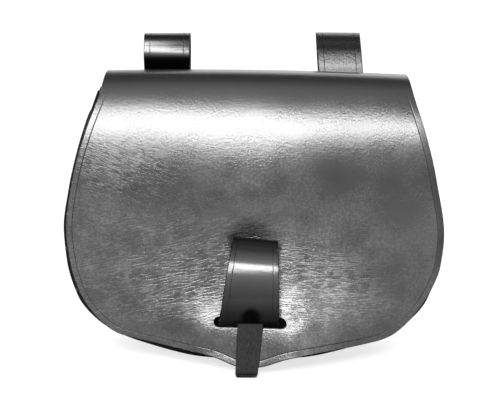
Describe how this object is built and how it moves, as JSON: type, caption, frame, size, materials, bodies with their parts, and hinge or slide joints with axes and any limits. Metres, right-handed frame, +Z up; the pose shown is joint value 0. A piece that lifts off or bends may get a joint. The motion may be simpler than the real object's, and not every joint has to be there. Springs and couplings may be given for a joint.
{
  "type": "leather bag",
  "caption": "Black leather belt pouch with a broad rounded flap, a folded closing strap through a slot in the flap, and loops for a belt above the back.",
  "frame": {"origin": "on the surface that the pouch stands on, under the middle of its bounding box", "axes": "+X to the right as seen from the front, +Y to the back panel and the belt loops, +Z up"},
  "size_m": [0.2614, 0.1134, 0.2205],
  "materials": {
    "cover_leather": "glossy black grained leather with fine creases, worn at the cut edges",
    "body_leather": "satin black leather, sewn along the rims",
    "strap_leather": "smooth polished black strap leather with a line tooled along each edge"
  },
  "bodies": {
    "root": {"back_and_flap": "cover_leather", "front_panel": "body_leather", "gusset": "body_leather", "closing_strap": "strap_leather", "belt_loop_left": "strap_leather", "belt_loop_right": "strap_leather"}
  },
  "joints": []
}
